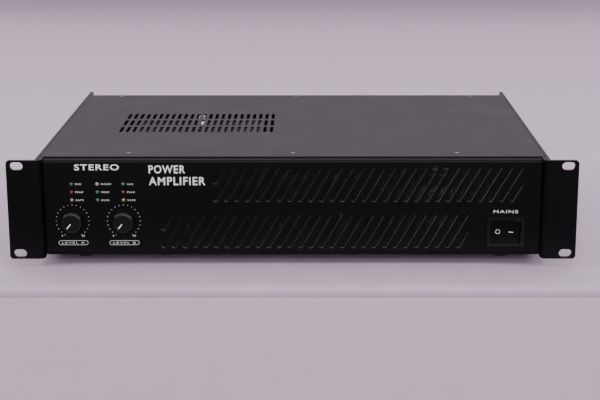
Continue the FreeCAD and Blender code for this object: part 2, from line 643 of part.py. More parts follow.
def lamps():
    """Round lamps in three columns, each a dome, a flange behind the panel and a long tail."""
    solids = []
    for x, z in lamp_places():
        nose = deep("panel_from - lamp_proud + lamp_radius")
        back = deep("panel_from + sheet + lamp_gap")
        ball = doc.addObject("Part::Sphere", "dome")
        place(ball, x, nose, z)
        bind(ball, "Radius", "lamp_radius")
        stem = rod("y", x, nose, z, "lamp_radius", "sheet + lamp_proud - lamp_radius + over")
        tail = rod("y", x, back, z, "lamp_flange", "board_from - panel_from - sheet - lamp_gap")
        solids.append(fuse(ball, stem, tail))
    node("led_green", *[solids[i] for i in (0, 4, 5, 6)])
    node("led_red", solids[1], solids[7])
    node("led_yellow", solids[2], solids[8])
    node("led_power", solids[3])


def front_board():
    board = block(("board_left", "board_right"), (deep("board_from"), deep("board_from + board_thick")),
                  ("board_low", "board_top"))
    node("front_board", board)


def level_controls():
    pots, nuts = [], []
    for x in ("knob_left", "knob_right"):
        case = rod("y", x, deep("pot_from"), "knob_z", "pot_radius", "pot_to - pot_from")
        bush = rod("y", x, deep("bush_from"), "knob_z", "bush_radius", "pot_from - bush_from + over")
        bore = rod("y", x, deep("bush_from"), "knob_z", "shaft_radius + shaft_fit",
                   "shaft_to + shaft_end - bush_from")
        pots.append(cut(fuse(case, bush), bore))
        start = deep("panel_from - nut_thick")
        nut = doc.addObject("Part::Prism", "nut")
        nut.Placement = Placement(Vector(), TURNS["y"])
        place(nut, x, start, "knob_z")
        nut.Polygon = 6
        bind(nut, "Circumradius", "nut_radius")
        bind(nut, "Height", "nut_thick")
        nuts.append(cut(nut, rod("y", x, start, "knob_z", "bush_radius + shaft_fit", "nut_thick")))
    node("potentiometers", *pots)
    node("pot_nuts", *nuts)
    for letter, x in (("a", "knob_left"), ("b", "knob_right")):
        volume_knob(letter, x)
        shaft = rod("y", x, deep("shaft_from"), "knob_z", "shaft_radius", "shaft_to - shaft_from")
        node(f"pot_shaft_{letter}", shaft)


def volume_knob(letter, x):
    """Turned cap, hollow behind for the nut, with a pointer groove across its face."""
    body = new_body(f"volume_knob_{letter}")
    drawing = sketch(body, "XY_Plane")
    corners = [("shaft_radius + shaft_press", "knob_hollow_from"), ("knob_hollow", "knob_hollow_from"),
               ("knob_hollow", "knob_back"), ("knob_radius", "knob_back"),
               ("knob_radius", "knob_front + knob_edge"), ("knob_radius - knob_edge", "knob_front"),
               ("0", "knob_front"), ("0", "shaft_from - shaft_press"),
               ("shaft_radius + shaft_press", "shaft_from - shaft_press")]
    outline(drawing, corners)
    turned = body.newObject("PartDesign::Revolution", "knob_turned")
    turned.Profile = drawing
    turned.ReferenceAxis = (drawing, ["V_Axis"])
    turned.Angle = 360
    pocket(body, "XZ_Plane", "knob_front - over", "line_deep + over", rectangle,
           about("0", "line_wide / 2"), ("line_from", "line_to"))
    body.Placement = Placement(Vector(), Rotation(Vector(0, 1, 0), value("knob_rest")))
    place(body, x, "front", "knob_z")


def power_switch():
    body = new_body("power_switch_frame")
    face = deep("bezel_front")
    pad(body, "XZ_Plane", face, "panel_from - bezel_front", rectangle,
        about("switch_x", "bezel_half_x"), about("switch_z", "bezel_half_z"))
    corners = [value(x) for x in about("switch_x", "bezel_half_x")]
    round_edges(body, "bezel_corner", lambda box: any(runs_along("Y", box, X=x) for x in corners))
    pad(body, "XZ_Plane", deep("panel_from"), "case_to - panel_from", rectangle,
        about("switch_x", "case_half_x"), about("switch_z", "case_half_z"))
    pocket(body, "XZ_Plane", deep("bezel_front - over"), "well_to - bezel_front + over", rectangle,
           about("switch_x", "well_half_x"), about("switch_z", "well_half_z"))
    pocket(body, "XY_Plane", "switch_z - bezel_half_z - over", "2 * (bezel_half_z + over)", circle,
           "switch_x", deep("pivot_depth"), "pin_radius + pin_fit")
    blades = []
    for step in (-1, 0, 1):
        middle = f"switch_x + {step} * blade_step"
        blades.append(block(about(middle, "blade_thick / 2"),
                            (deep("case_to"), deep("case_to + blade_long")),
                            about("switch_z", "blade_half")))
    node("switch_terminals", *blades)
    power_rocker()


def turned(item, axis, angle, shift=Vector()):
    """The item turned about an axis through the origin, then moved."""
    holder = doc.addObject("Part::Compound", "turned")
    holder.Links = [item]
    holder.Placement = Placement(shift, Rotation(axis, angle))
    return holder


def power_rocker():
    """Rocker with a shallow V face; its ends are arcs about the pivot, so it clears its well."""
    size, tilt, upright = "2 * rocker_radius", value("rocker_tilt"), Vector(0, 0, 1)
    drum = rod("z", "0", "0", "-rocker_half_z", "rocker_radius", "2 * rocker_half_z")
    front = [block(about("0", size), (f"-({size})", "-rocker_face"), about("0", size))
             for _ in range(2)]
    notch = doc.addObject("Part::MultiCommon", "notch")
    notch.Shapes = [front[0], turned(front[1], upright, -2 * tilt)]
    behind = block(about("0", size), ("rocker_back", size), about("0", size))
    key = cut(drum, notch, turned(behind, upright, -tilt))
    pin = rod("z", "0", "0", "-rocker_half_z - pin_long", "pin_radius",
              "2 * (rocker_half_z + pin_long)")
    rocker = node("power_rocker", fuse(key, pin))
    place(rocker, "switch_x", deep("pivot_depth"), "switch_z")


# ---- power supply -----------------------------------------------------------------------------

def transformer():
    """Toroid between two rubber mats, held by a dished plate and one bolt."""
    floor = "base_low + sheet"
    body = new_body("transformer_winding")
    rectangle(drawing := sketch(body, "XZ_Plane"), ("coil_hole", "coil_radius"), ("0", "coil_high"))
    winding = body.newObject("PartDesign::Revolution", "winding")
    winding.Profile = drawing
    winding.ReferenceAxis = (drawing, ["V_Axis"])
    winding.Angle = 360
    place(body, "coil_x", deep("coil_from"), f"{floor} + mat_thick")
    doc.recompute()
    rims = [f"Edge{i}" for i, edge in enumerate(winding.Shape.Edges, 1)
            if isinstance(edge.Curve, Part.Circle)
            and abs(edge.Curve.Radius - value("coil_radius")) < 0.01]
    fillet = body.newObject("PartDesign::Fillet", "winding_round")
    fillet.Base = (winding, rims)
    bind(fillet, "Radius", "coil_round")
    spot = "coil_x", deep("coil_from")
    upper = f"{floor} + mat_thick + coil_high"
    plate = f"{upper} + mat_thick"
    hole = "bolt_radius + bolt_fit"

    def washer(level, radius, thick):
        return cut(rod("z", *spot, level, radius, thick), rod("z", *spot, level, hole, thick))

    node("transformer_pads", washer(floor, "coil_radius - coil_round", "mat_thick"),
         washer(upper, "plate_radius + mat_rim", "mat_thick"))
    node("transformer_plate", washer(plate, "plate_radius", "plate_thick"))
    top = f"{plate} + plate_thick"
    node("transformer_bolt", screw("z", -1, *spot, top, f"{top} - base_low", "bolt_radius",
                                   "bolt_head_radius", "bolt_head_high"))


def circuit_boards():
    level = "base_low + sheet + standoff_high"
    heights = (level, f"{level} + board_thick")
    node("power_board", block(("power_left", "power_right"), (deep("power_from"), deep("power_to")),
                              heights))
    amp = (deep("amp_from"), deep("amp_to"))
    sides = [("left_board_from_x", "left_board_to_x"), ("right_board_from_x", "right_board_to_x")]
    node("amplifier_boards", *[block(x, amp, heights) for x in sides])
    areas = [(*x, "amp_from", "amp_to") for x in sides]
    areas.append(("power_left", "power_right", "power_from", "power_to"))
    posts = [rod("z", x, deep(depth), "base_low + sheet", "standoff_radius", "standoff_high")
             for left, right, near, far in areas
             for x in (f"{left} + board_inset", f"{right} - board_inset")
             for depth in (f"{near} + board_inset", f"{far} - board_inset")]
    node("board_standoffs", *posts)
    deck = f"{level} + board_thick"
    node("filter_capacitors", *[
        rod("z", f"can_x + {a} * can_step", deep(f"can_from + {b} * can_step"), deck,
            "can_radius", "can_high") for a in range(2) for b in range(2)])
    node("bridge_rectifier", block(about("bridge_x", "bridge_half"),
                                   about(deep("bridge_from + bridge_half"), "bridge_half"),
                                   (deck, f"{deck} + bridge_high")))


def heat_sinks():
    """Two combs whose fins face each other and make the tunnel that the fan blows through."""
    chips = []
    for letter, wall, sign in (("a", "-sink_out", 1), ("b", "-sink_in", -1)):
        body = new_body(f"heat_sink_{letter}")
        sides = sorted((wall, f"{wall} + {sign} * sink_wall"), key=value)
        fin = sorted((f"{wall} + {sign} * sink_wall", f"{wall} + {sign} * (sink_wall + fin_long)"),
                     key=value)
        span = deep("sink_from"), "sink_long"
        pad(body, "XZ_Plane", *span, rectangle, sides, ("sink_low", "sink_top"))
        first = pad(body, "XZ_Plane", *span, rectangle, fin, ("sink_low", "sink_low + fin_thick"))
        repeat(body, first, "V_Axis", "fins", "(sink_top - sink_low - fin_thick) / (fins - 1)")
        outer = sorted((wall, f"{wall} - {sign} * chip_thick"), key=value)
        chips += [block(outer, (deep(f"chip_first + {i} * chip_pitch"),
                                deep(f"chip_first + {i} * chip_pitch + chip_wide")),
                        ("chip_low", "chip_low + chip_high")) for i in range(int(value("chips")))]
    node("output_transistors", *chips)


# ---- cooling fan ------------------------------------------------------------------------------

def cooling_fan():
    start, skin = deep("fan_from"), deep("rear_from")
    long = "rear_from - fan_from"
    spot = "fan_x", "fan_z"
    shell = block(about("fan_x", "fan_half"), (start, skin), about("fan_z", "fan_half"))
    bore = rod("y", "fan_x", start, "fan_z", "fan_bore", long)
    holes = [rod("y", x, start, z, "screw_hole", long) for x, z in fan_corners()]
    rear = deep("rear_from - fan_spider")
    hub = rod("y", "fan_x", rear, "fan_z", "fan_hub", "fan_spider")
    ribs = [block(about("fan_x", "fan_bore + over"), (rear, skin), about("fan_z", "rib_half")),
            block(about("fan_x", "rib_half"), (rear, skin), about("fan_z", "fan_bore + over"))]
    node("fan_frame", fuse(cut(shell, bore, *holes), hub, *ribs))
    fan_rotor()
    fan_guard()
    screws = [screw("y", -1, x, deep("rear_from + sheet + 2 * spoke_radius"), z, "fan_screw_long")
              for x, z in fan_corners()]
    screws += [screw("y", -1, x, deep("rear_from + sheet + plate_proud"), z, "socket_screw_long",
                     head="small_head", thick="head_high") for x, z in flange_screw_places()]
    node("rear_screws", *screws)


def fan_rotor():
    """Hub with leaning vanes, made round the Y axis at the origin and then moved."""
    long = "rear_from - fan_spider - fan_from - 2 * rotor_gap"
    hub = rod("y", "0", "0", "0", "fan_hub", long)
    vane = block(about("0", "vane_thick / 2"), about("0", "vane_high / 2"),
                 ("fan_hub - 2 * over", "fan_tip"))
    leaning = turned(vane, Vector(0, 0, 1), value("vane_lean"),
                     Vector(0, value(long) / 2, 0))
    count = int(value("blade_count"))
    vanes = [turned(leaning, Vector(0, 1, 0), 360 * i / count) for i in range(count)]
    tip = rod("y", "0", "0", "0", "fan_tip", long)
    trimmed = doc.addObject("Part::MultiCommon", "trimmed")
    trimmed.Shapes = [fuse(hub, *vanes), tip]
    rotor = node("fan_rotor", trimmed)
    place(rotor, "fan_x", deep("fan_from + rotor_gap"), "fan_z")


def fan_guard():
    """Round wire guard: rings welded on a cross of thicker wires that ends in screw eyes."""
    skin = deep("rear_from + sheet")
    over = f"{skin} + 2 * spoke_radius + wire_radius"
    rings = [ring("fan_x", over, "fan_z", radius, "wire_radius")
             for radius in ("ring_small", "ring_middle", "ring_large")]
    reach = "sqrt(2) * fan_screw_step - eye_radius + weld"
    wires = []
    for i in range(2):
        wire = rod("x", f"-({reach})", "0", "0", "spoke_radius", f"2 * ({reach})")
        wires.append(turned(wire, Vector(0, 1, 0), 45 + 90 * i))
    cross = fuse(*wires)
    place(cross, "fan_x", f"{skin} + spoke_radius", "fan_z")
    eye = f"{skin} + eye_inset", "2 * (spoke_radius - eye_inset)"
    eyes = [cut(rod("y", x, eye[0], z, "eye_radius", eye[1]),
                rod("y", x, eye[0], z, "screw_hole", eye[1])) for x, z in fan_corners()]
    node("fan_guard", *rings, fuse(cross, *eyes))


# ---- rear sockets -----------------------------------------------------------------------------

def round_socket(x, ring_radius, core_radius, deep_hole):
    """Square flange with a barrel behind it and a ring-shaped way in round a core."""
    skin = deep("rear_from + sheet")
    mouth = f"{skin} + plate_proud - {deep_hole}"
    flange = block(about(x, "plate_half_x"), (skin, f"{skin} + plate_proud"),
                   about("xlr_z", "plate_half_z"))
    barrel = rod("y", x, deep("socket_back"), "xlr_z", "xlr_shell",
                 "rear_from + sheet - socket_back")
    way = cut(rod("y", x, mouth, "xlr_z", ring_radius, f"{deep_hole} + over"),
              rod("y", x, mouth, "xlr_z", core_radius, f"{deep_hole} - core_recess"))
    return fuse(flange, barrel), way, mouth


def socket_row():
    skin = deep("rear_from + sheet")
    high = "plate_proud + over"
    inputs, outputs = [], []
    for letter, x in (("a", "xlr_left"), ("b", "xlr_right")):
        solid, way, mouth = round_socket(x, "xlr_ring", "xlr_core", "xlr_deep")
        holes = [rod("y", f"{x} + {a} * contact_step", mouth, f"xlr_z + {b} * contact_step",
                     "contact_radius", "xlr_deep + over") for a, b in ((-1, 0.4), (1, 0.4), (0, -1))]
        slot = block(about(x, "latch_half + latch_fit"), (f"{skin} - over", f"{skin} + {high}"),
                     ("latch_low - latch_fit + xlr_z", "xlr_z + latch_high + latch_fit"))
        inputs.append(cut(solid, way, slot, *holes, *screw_holes(x, skin, high)))
        node(f"xlr_latch_{letter}", block(about(x, "latch_half"),
                                          (deep("latch_from"), f"{skin} + latch_proud"),
                                          ("xlr_z + latch_low", "xlr_z + latch_high")))
    for x in ("out_left", "out_right"):
        solid, way, _ = round_socket(x, "out_ring", "out_core", "out_deep")
        outputs.append(cut(solid, way, *screw_holes(x, skin, high)))
    node("xlr_sockets", *inputs)
    node("speaker_sockets", *outputs)


def screw_holes(x, skin, high):
    return [rod("y", f"{x} + {side} * corner_screw_x", f"{skin} - over",
                f"xlr_z + {side} * corner_screw_z", "snug_hole", high)
            for side in (-1, 1)]


def jack_sockets():
    skin, sockets = deep("rear_from + sheet"), []
    for x in ("xlr_left", "xlr_right"):
        case = block(about(x, "jack_body"), (deep("socket_back"), deep("rear_from")),
                     about("jack_z", "jack_body"))
        neck = rod("y", x, deep("rear_from"), "jack_z", "jack_neck", "sheet")
        nut = rod("y", x, skin, "jack_z", "jack_nut", "jack_nut_proud")
        bore = rod("y", x, f"{skin} + jack_nut_proud - jack_bore_long", "jack_z", "jack_bore",
                   "jack_bore_long")
        sockets.append(cut(fuse(case, neck, nut), bore))
    node("jack_sockets", *sockets)


def binding_posts():
    """Insulated bases, metal studs with a wire hole, and fluted caps that screw along them."""
    skin = deep("rear_from + sheet")
    bases, studs, number = [], [], 0
    for middle in ("out_left", "out_right"):
        slab = block(about(middle, "post_base_half_x"), (skin, f"{skin} + post_base_proud"),
                     about("post_z", "post_base_half_z"))
        collars, bores = [], []
        for side in (-1, 1):
            number += 1
            x = f"{middle} + {side} * post_half_step"
            collars.append(rod("y", x, skin, "post_z", "post_collar", "post_collar_proud"))
            bores.append(rod("y", x, f"{skin} - over", "post_z", "stud_radius",
                             "post_collar_proud + 2 * over"))
            stud = rod("y", x, deep("socket_back"), "post_z", "stud_radius",
                       "stud_to - socket_back - stud_recess")
            hole = rod("z", x, deep("wire_depth"), "post_z - 2 * stud_radius", "wire_hole",
                       "4 * stud_radius")
            way = rod("y", x, deep("wire_depth"), "post_z", "plug_radius", "stud_to - wire_depth")
            studs.append(cut(stud, hole, way))
            post_cap(number, x)
        bases.append(cut(fuse(slab, *collars), *bores))
    node("post_bases", *bases)
    node("post_studs", *studs)


def post_cap(number, x):
    body = new_body(f"post_cap_{number}")
    pad(body, "XZ_Plane", "0", "cap_to - cap_from", circle, "0", "0", "cap_radius")
    pocket(body, "XZ_Plane", "-over", "stud_to - cap_from + over", circle, "0", "0",
           "stud_radius + shaft_fit")
    pocket(body, "XZ_Plane", "-over", "cap_to - cap_from + 2 * over", circle, "0", "0", "plug_radius")
    flute = pocket(body, "XZ_Plane", "collar_length", "cap_to - cap_from", circle, "0", "cap_radius",
                   "flute_radius")
    pattern = body.newObject("PartDesign::PolarPattern", "flutes")
    pattern.Originals = [flute]
    pattern.Axis = (flute.Profile[0], ["N_Axis"])
    pattern.Angle = 360
    bind(pattern, "Occurrences", "cap_flutes")
    body.Tip = pattern
    place(body, x, deep("cap_from"), "post_z")


def slide_switches():
    skin, cases = deep("rear_from + sheet"), []
    key_root = f"{skin} + slide_proud - slide_deep"
    for name, z in (("mode", "mode_z"), ("lift", "lift_z")):
        plate = block(about("slide_x", "slide_half_x"), (skin, f"{skin} + slide_proud"),
                      about(z, "slide_half_z"))
        case = block(about("slide_x", "slide_case_x"), (deep("slide_back"), skin),
                     about(z, "slide_half_z - cutout_gap"))
        window = block(about("slide_x", "slide_window_x"),
                       (f"{key_root} - key_gap", f"{skin} + slide_proud + over"),
                       about(z, "slide_window_z"))
        cases.append(cut(fuse(plate, case), window))
        rest = {"mode": "slide_x", "lift": "slide_x - slide_travel"}[name]
        node(f"{name}_slider", block(about(rest, "slide_key_x"),
                                     (key_root, f"{skin} + slide_key_proud"),
                                     about(z, "slide_key_z")))
    node("slide_switches", *cases)


def mains_inlet():
    skin = deep("rear_from + sheet")
    face = f"{skin} + inlet_proud"
    body = new_body("mains_inlet")
    pad(body, "XZ_Plane", skin, "inlet_proud", rectangle, about("inlet_x", "inlet_half_x"),
        about("inlet_z", "inlet_half_z"))
    pad(body, "XZ_Plane", deep("inlet_back"), "rear_from + sheet - inlet_back", rectangle,
        about("inlet_x", "inlet_body_x"), about("inlet_z", "inlet_body_z"))
    left, right = about("inlet_x", "mouth_half_x")
    corners = [(left, "mouth_low"), (right, "mouth_low"), (right, "mouth_top - mouth_chamfer"),
               (f"{right} - mouth_chamfer", "mouth_top"), (f"{left} + mouth_chamfer", "mouth_top"),
               (left, "mouth_top - mouth_chamfer")]
    pocket(body, "XZ_Plane", f"{face} - mouth_deep", "mouth_deep + over", outline, corners)
    pocket(body, "XZ_Plane", f"{face} - drawer_deep", "drawer_deep + over", rectangle,
           about("inlet_x", "drawer_half_x + drawer_fit"),
           ("drawer_low - drawer_fit", "drawer_top + drawer_fit"))
    tines = [("inlet_x", "earth_z")] + [(f"inlet_x + {side} * live_x", "live_z") for side in (-1, 1)]
    for x, z in tines:
        pad(body, "XZ_Plane", f"{face} - mouth_deep", "mouth_deep - tine_short", rectangle,
            about(x, "tine_half_x"), about(z, "tine_half_z"))
    tray = block(about("inlet_x", "drawer_half_x"),
                 (f"{face} - drawer_deep + drawer_fit", f"{face} + drawer_grip"),
                 ("drawer_low", "drawer_top"))
    hollow = block(about("inlet_x", "drawer_half_x - tray_wall"),
                   (f"{face} - drawer_deep + tray_wall", f"{face} - tray_front"),
                   ("drawer_low + tray_floor", "drawer_top + over"))
    node("fuse_drawer", cut(tray, hollow))


# ---- build, test and write --------------------------------------------------------------------

for side_name in SIDES:
    rack_ear(side_name)
    side_plate(side_name)
front_panel()
base_plate()
rear_panel()
top_cover()
case_screws()
feet()
dust_screen()
lamps()
front_board()
level_controls()
power_switch()
transformer()
circuit_boards()
heat_sinks()
cooling_fan()
socket_row()
jack_sockets()
binding_posts()
slide_switches()
mains_inlet()
doc.recompute()

for item in doc.Objects:
    if {"Invalid", "Error"} & set(item.State):
        raise RuntimeError(f"{item.Name} ({item.Label}) failed: {item.State}")
labels = [item.Label for item in NODES]
if len(set(labels)) != len(labels):
    raise RuntimeError("two sub-parts share a label")
for item in NODES:
    if item.Shape.isNull() or not item.Shape.isValid() or not item.Shape.Solids:
        raise RuntimeError(f"{item.Label} has no valid solid")
for item in NODES:
    item.Shape.exportStep(f"parts/{item.Label}.step")
print(len(NODES), "sub-parts written")
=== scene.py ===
import json
import math

import bmesh
import bpy
from mathutils import Matrix, Vector


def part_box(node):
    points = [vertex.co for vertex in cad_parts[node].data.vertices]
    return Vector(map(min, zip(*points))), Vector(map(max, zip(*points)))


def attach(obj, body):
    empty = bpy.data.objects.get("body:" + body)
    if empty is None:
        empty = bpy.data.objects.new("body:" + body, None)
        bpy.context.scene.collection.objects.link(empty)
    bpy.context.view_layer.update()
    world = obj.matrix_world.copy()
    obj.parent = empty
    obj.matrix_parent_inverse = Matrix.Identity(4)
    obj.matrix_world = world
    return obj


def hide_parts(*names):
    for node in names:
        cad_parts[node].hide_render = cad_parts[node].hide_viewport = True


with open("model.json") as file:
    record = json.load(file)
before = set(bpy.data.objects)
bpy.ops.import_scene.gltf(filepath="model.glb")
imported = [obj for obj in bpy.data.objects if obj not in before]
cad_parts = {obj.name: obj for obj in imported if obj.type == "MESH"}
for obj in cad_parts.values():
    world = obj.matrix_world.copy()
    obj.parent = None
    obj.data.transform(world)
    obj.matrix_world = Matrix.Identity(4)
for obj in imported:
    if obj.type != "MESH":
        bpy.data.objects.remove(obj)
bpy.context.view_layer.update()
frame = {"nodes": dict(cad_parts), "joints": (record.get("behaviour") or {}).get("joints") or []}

MM = 0.001
NODES = frame["nodes"]
JOINTS = {joint["name"]: joint for joint in frame["joints"]}


# ---- places read from the frame ---------------------------------------------------------------

def islands(node):
    """The boxes (low, high) of the separate solids in one CAD node."""
    work = bmesh.new()
    work.from_mesh(NODES[node].data)
    bmesh.ops.remove_doubles(work, verts=work.verts, dist=0.01 * MM)
    left, boxes = set(work.verts), []
    while left:
        heap = [left.pop()]
        corners = []
        while heap:
            vert = heap.pop()
            corners.append(vert.co.copy())
            near = {edge.other_vert(vert) for edge in vert.link_edges} & left
            left -= near
            heap.extend(near)
        boxes.append((Vector(map(min, zip(*corners))), Vector(map(max, zip(*corners)))))
    work.free()
    return sorted(boxes, key=lambda box: (box[0].x, box[0].y, box[0].z))


def middle(box):
    """Centre of a box given as (low, high)."""
    return (box[0] + box[1]) / 2


PANEL_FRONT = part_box("front_panel")[0].y
REAR_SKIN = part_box("rear_panel")[1].y


# ---- materials --------------------------------------------------------------------------------

def new_material(name, colour, **sockets):
    """A Principled material; sockets are plain values on the shader's own inputs."""
    made = bpy.data.materials.new(name)
    made.use_nodes = True
    shader = made.node_tree.nodes["Principled BSDF"]
    shader.inputs["Base Color"].default_value = (*colour, 1)
    for socket, value in sockets.items():
        shader.inputs[socket.replace("_", " ")].default_value = value
    return made, made.node_tree, shader


def noise(tree, scale, detail=3, stretch=(1, 1, 1)):
    """Noise in the frame's own metres; stretch squeezes it along an axis."""
    place = tree.nodes.new("ShaderNodeTexCoord")
    squeeze = tree.nodes.new("ShaderNodeMapping")
    squeeze.inputs["Scale"].default_value = stretch
    texture = tree.nodes.new("ShaderNodeTexNoise")
    texture.inputs["Scale"].default_value = scale
    texture.inputs["Detail"].default_value = detail
    tree.links.new(place.outputs["Object"], squeeze.inputs["Vector"])
    tree.links.new(squeeze.outputs["Vector"], texture.inputs["Vector"])
    return texture.outputs["Fac"]


def ramp(tree, factor, low, high, start=0.35, end=0.65):
    """Colour that runs from low to high as factor goes from start to end."""
    blend = tree.nodes.new("ShaderNodeValToRGB")
    for point, where, colour in zip(blend.color_ramp.elements, (start, end), (low, high)):
        point.position = where
        point.color = (*colour, 1)
    tree.links.new(factor, blend.inputs["Fac"])
    return blend.outputs["Color"]


def bump(tree, shader, height, strength, distance):
    """Raises the surface by a height, on top of any bump that the shader has already."""
    node = tree.nodes.new("ShaderNodeBump")
    node.inputs["Strength"].default_value = strength
    node.inputs["Distance"].default_value = distance
    tree.links.new(height, node.inputs["Height"])
    before = shader.inputs["Normal"]
    if before.is_linked:
        tree.links.new(before.links[0].from_socket, node.inputs["Normal"])
    tree.links.new(node.outputs["Normal"], before)


def spread(tree, shader, socket, factor, low, high):
    """Lets a value run from low to high over the surface."""
    node = tree.nodes.new("ShaderNodeMapRange")
    node.inputs["To Min"].default_value = low
    node.inputs["To Max"].default_value = high
    tree.links.new(factor, node.inputs["Value"])
    tree.links.new(node.outputs["Result"], shader.inputs[socket])


def shade(colour, factor):
    """The colour made lighter or darker."""
    return tuple(min(1, part * factor) for part in colour)


def plain(name, colour, roughness, grain=1500, depth=0.02, mottle=0.15, **sockets):
    """Surface with a fine grain, and with patches that differ a little in colour and gloss."""
    made, tree, shader = new_material(name, colour, **sockets)
    patches = noise(tree, 40)
    tree.links.new(ramp(tree, patches, shade(colour, 1 - mottle), shade(colour, 1 + mottle)),
                   shader.inputs["Base Color"])
    spread(tree, shader, "Roughness", patches, roughness * 0.9, roughness * 1.1)
    bump(tree, shader, noise(tree, grain), 0.3, depth * MM)
    return made


def paint(name, colour, gloss, roughness, bare=None):
    """Satin black powder coat: orange-peel waves under a fine grain, and a little dust."""
    made, tree, shader = new_material(name, colour, Specular_IOR_Level=gloss)
    tone = arithmetic(tree, "MULTIPLY", noise(tree, 9, detail=6), 0.5)
    if bare:
        tone = arithmetic(tree, "ADD", tone, cut_walls(tree))
    colours = ramp(tree, tone, colour, shade(colour, 1.6), 0.1, 0.5)
    if bare:
        point = colours.node.color_ramp.elements.new(0.9)
        point.color = (*bare, 1)
    tree.links.new(colours, shader.inputs["Base Color"])
    spread(tree, shader, "Roughness", noise(tree, 25), roughness * 0.88, roughness * 1.12)
    bump(tree, shader, noise(tree, 450), 0.12, 0.05 * MM)
    bump(tree, shader, noise(tree, 2600), 0.25, 0.02 * MM)
    return made


def arithmetic(tree, operation, one, other):
    """A Math node between a socket and either a socket or a number."""
    node = tree.nodes.new("ShaderNodeMath")
    node.operation = operation
    tree.links.new(one, node.inputs[0])
    if isinstance(other, (int, float)):
        node.inputs[1].default_value = other
    else:
        tree.links.new(other, node.inputs[1])
    return node.outputs["Value"]


def cut_walls(tree):
    """One on the walls of the openings punched through the front sheet, nought elsewhere."""
    low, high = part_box("dust_screen")
    sheet, level_normal = 1.8 * MM, 0.3
    centre, half = middle((low, high)), (high - low) / 2
    spot = tree.nodes.new("ShaderNodeTexCoord")
    surface = tree.nodes.new("ShaderNodeNewGeometry")
    where, normal = (tree.nodes.new("ShaderNodeSeparateXYZ") for _ in range(2))
    tree.links.new(spot.outputs["Object"], where.inputs[0])
    tree.links.new(surface.outputs["Normal"], normal.inputs[0])
    tests = [(normal.outputs["Y"], 0, level_normal), (where.outputs["X"], centre.x, half.x),
             (where.outputs["Y"], PANEL_FRONT, sheet), (where.outputs["Z"], centre.z, half.z)]
    inside = None
    for socket, target, reach in tests:
        away = arithmetic(tree, "ABSOLUTE", arithmetic(tree, "SUBTRACT", socket, target), 0)
        near = arithmetic(tree, "LESS_THAN", away, reach)
        inside = arithmetic(tree, "MULTIPLY", inside, near) if inside else near
    return inside


def brushed(name, colour, roughness, stretch):
    """Bare metal with fine lines along one axis."""
    made, tree, shader = new_material(name, colour, Metallic=1)
    lines = noise(tree, 300, detail=4, stretch=stretch)
    tree.links.new(ramp(tree, lines, shade(colour, 0.8), colour), shader.inputs["Base Color"])
    spread(tree, shader, "Roughness", lines, roughness * 0.8, roughness * 1.2)
    bump(tree, shader, lines, 0.2, 0.02 * MM)
    return made


def lamp(name, colour):
    """Unlit tinted lens, darker towards its edge as seen: painted shade on the rounded dome."""
    made, tree, shader = new_material(name, colour, Roughness=0.16, Coat_Weight=0.6)
    # Facing ramp: the lens colour falls to 0.4 of itself at grazing view, painted shade on the
    # dome's rim.
    edge = tree.nodes.new("ShaderNodeLayerWeight")
    edge.inputs["Blend"].default_value = 0.35
    tree.links.new(ramp(tree, edge.outputs["Facing"], colour, shade(colour, 0.4), 0.2, 0.9),
                   shader.inputs["Base Color"])
    bump(tree, shader, noise(tree, 900), 0.05, 0.02 * MM)
    return made


def winding():
    """Clear brown tape wound over copper: narrow bands that run round the ring's section."""
    centre = middle(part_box("transformer_winding"))
    made, tree, shader = new_material("winding_tape", (0.15, 0.09, 0.08), Roughness=0.3)
    place = tree.nodes.new("ShaderNodeTexCoord")
    shift = tree.nodes.new("ShaderNodeMapping")
    shift.inputs["Location"].default_value = -centre
    bands = tree.nodes.new("ShaderNodeTexGradient")
    bands.gradient_type = "RADIAL"
    tree.links.new(place.outputs["Object"], shift.inputs["Vector"])
    tree.links.new(shift.outputs["Vector"], bands.inputs["Vector"])
    band_rate = 260
    turns = arithmetic(tree, "MULTIPLY", bands.outputs["Fac"], band_rate)
    wave = arithmetic(tree, "SINE", turns, 0)
    tree.links.new(ramp(tree, wave, (0.035, 0.022, 0.02), (0.095, 0.062, 0.058)),
                   shader.inputs["Base Color"])
    bump(tree, shader, wave, 0.5, 0.2 * MM)
    return made


def board():
    """Green circuit board with lighter traces."""
    made, tree, shader = new_material("circuit_board", (0.02, 0.11, 0.04), Roughness=0.35)
    place = tree.nodes.new("ShaderNodeTexCoord")
    cells = tree.nodes.new("ShaderNodeTexVoronoi")
    cells.distance = "CHEBYCHEV"
    cells.feature = "DISTANCE_TO_EDGE"
    cells.inputs["Scale"].default_value = 160
    tree.links.new(place.outputs["Object"], cells.inputs["Vector"])
    tree.links.new(ramp(tree, cells.outputs["Distance"], (0.02, 0.1, 0.04), (0.008, 0.045, 0.018),
                        0.02, 0.08), shader.inputs["Base Color"])
    bump(tree, shader, cells.outputs["Distance"], 0.2, 0.04 * MM)
    return made


